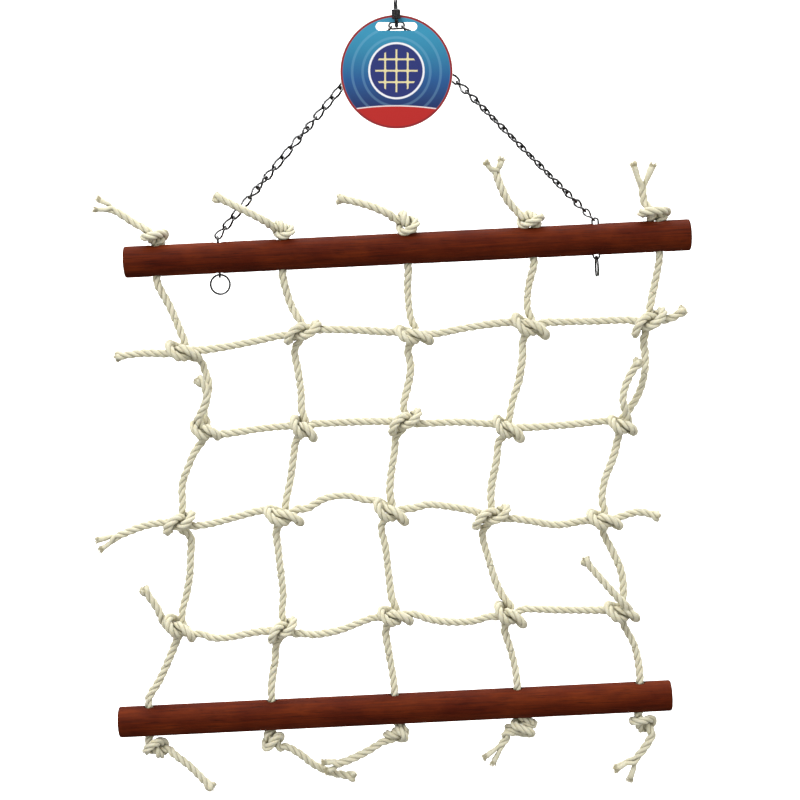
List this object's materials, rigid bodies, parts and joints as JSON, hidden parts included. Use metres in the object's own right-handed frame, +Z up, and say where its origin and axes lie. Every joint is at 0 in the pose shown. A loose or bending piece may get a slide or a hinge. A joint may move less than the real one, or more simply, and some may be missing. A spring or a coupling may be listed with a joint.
{
  "type": "hanging rope climbing net",
  "caption": "Knotted rope climbing net between two wooden bars, hung on a light chain from a closable link, for a pet bird or small climber.",
  "frame": {"origin": "the point inside the top of the hanging link where a hook bears", "axes": "+Z up along the hang line, +X along the bars to the viewer's right, -Y the front, where the card hangs"},
  "size_m": [0.4925, 0.0322, 0.6449],
  "materials": {
    "stained_wood": "matte red-brown stain",
    "plated_steel": "dark bright plate",
    "nickel_chain": "nickel plate",
    "printed_card": "gloss printed card",
    "sisal_rope": "natural twisted fibre"
  },
  "bodies": {
    "hanger": {"hanging_link": "plated_steel"},
    "nut": {"link_nut": "plated_steel"},
    "card": {"header_card": "printed_card"},
    "top_link": {"chain_top_link": "nickel_chain"},
    "chain_legs": {"left_chain": "nickel_chain", "right_chain": "nickel_chain"},
    "upper_bar": {"top_bar": "stained_wood", "left_bar_links": "nickel_chain", "right_bar_links": "nickel_chain", "upright_1_top_knot": "sisal_rope", "upright_2_top_knot": "sisal_rope", "upright_3_top_knot": "sisal_rope", "upright_4_top_knot": "sisal_rope", "upright_5_top_knot": "sisal_rope"},
    "left_swivel": {"left_end_link": "nickel_chain"},
    "right_swivel": {"right_end_link": "nickel_chain"},
    "left_split_ring": {"left_ring": "nickel_chain"},
    "right_split_ring": {"right_ring": "nickel_chain"},
    "row_1": {"upright_1_span_1": "sisal_rope", "upright_2_span_1": "sisal_rope", "upright_3_span_1": "sisal_rope", "upright_4_span_1": "sisal_rope", "upright_5_span_1": "sisal_rope", "cross_rope_1": "sisal_rope"},
    "row_2": {"upright_1_span_2": "sisal_rope", "upright_2_span_2": "sisal_rope", "upright_3_span_2": "sisal_rope", "upright_4_span_2": "sisal_rope", "upright_5_span_2": "sisal_rope", "cross_rope_2": "sisal_rope"},
    "row_3": {"upright_1_span_3": "sisal_rope", "upright_2_span_3": "sisal_rope", "upright_3_span_3": "sisal_rope", "upright_4_span_3": "sisal_rope", "upright_5_span_3": "sisal_rope", "cross_rope_3": "sisal_rope"},
    "row_4": {"upright_1_span_4": "sisal_rope", "upright_2_span_4": "sisal_rope", "upright_3_span_4": "sisal_rope", "upright_4_span_4": "sisal_rope", "upright_5_span_4": "sisal_rope", "cross_rope_4": "sisal_rope"},
    "row_5": {"upright_1_span_5": "sisal_rope", "upright_2_span_5": "sisal_rope", "upright_3_span_5": "sisal_rope", "upright_4_span_5": "sisal_rope", "upright_5_span_5": "sisal_rope"},
    "lower_bar": {"bottom_bar": "stained_wood", "upright_1_bottom_knot": "sisal_rope", "upright_2_bottom_knot": "sisal_rope", "upright_3_bottom_knot": "sisal_rope", "upright_4_bottom_knot": "sisal_rope", "upright_5_bottom_knot": "sisal_rope"}
  },
  "joints": [
    {"name": "nut_travel", "type": "slide", "parent": "hanger", "child": "nut", "axis": [0, 0, 1], "range_m": [0, 0.005]},
    {"name": "card_swing", "type": "hinge", "parent": "hanger", "child": "card", "pos_m": [0, -0.004, -0.0175], "axis": [0.9988, 0, -0.0489], "range_deg": [-35, 0]},
    {"name": "side_swing", "type": "hinge", "parent": "hanger", "child": "top_link", "pos_m": [0, 0, -0.0195], "axis": [0, 1, 0], "range_deg": [-30, 30]},
    {"name": "chain_swing", "type": "hinge", "parent": "top_link", "child": "chain_legs", "pos_m": [0, 0, -0.02155], "axis": [1, 0, 0], "range_deg": [0, 35]},
    {"name": "bar_tip", "type": "hinge", "parent": "chain_legs", "child": "upper_bar", "pos_m": [0, 0, -0.18115], "axis": [1, 0, 0], "range_deg": [-16, 25]},
    {"name": "left_end_turn", "type": "hinge", "parent": "upper_bar", "child": "left_swivel", "pos_m": [-0.1524, 0, -0.20999], "axis": [0, 0, 1], "range_deg": [-30, 30]},
    {"name": "left_ring_swing", "type": "hinge", "parent": "left_swivel", "child": "left_split_ring", "pos_m": [-0.1524, 0, -0.21089], "axis": [1, 0, 0], "range_deg": [-60, 60]},
    {"name": "right_end_turn", "type": "hinge", "parent": "upper_bar", "child": "right_swivel", "pos_m": [0.1524, 0, -0.20999], "axis": [0, 0, 1], "range_deg": [-30, 30]},
    {"name": "right_ring_swing", "type": "hinge", "parent": "right_swivel", "child": "right_split_ring", "pos_m": [0.1524, 0, -0.21089], "axis": [0, 1, 0], "range_deg": [-60, 60]},
    {"name": "fold_1", "type": "hinge", "parent": "upper_bar", "child": "row_1", "pos_m": [0, 0, -0.21459], "axis": [1, 0, 0], "range_deg": [-40, 40]},
    {"name": "fold_2", "type": "hinge", "parent": "row_1", "child": "row_2", "pos_m": [0, 0, -0.26591], "axis": [1, 0, 0.0049], "range_deg": [-40, 40]},
    {"name": "fold_3", "type": "hinge", "parent": "row_2", "child": "row_3", "pos_m": [0, 0, -0.34155], "axis": [0.9992, 0, -0.0397], "range_deg": [-40, 40]},
    {"name": "fold_4", "type": "hinge", "parent": "row_3", "child": "row_4", "pos_m": [0, 0, -0.41628], "axis": [0.9991, 0, -0.0426], "range_deg": [-40, 40]},
    {"name": "fold_5", "type": "hinge", "parent": "row_4", "child": "row_5", "pos_m": [0, 0, -0.50075], "axis": [1, 0, -0.0044], "range_deg": [-40, 40]},
    {"name": "lower_bar_tip", "type": "hinge", "parent": "row_5", "child": "lower_bar", "pos_m": [-0.0282, 0, -0.55909], "axis": [1, 0, 0], "range_deg": [-40, 40]}
  ]
}
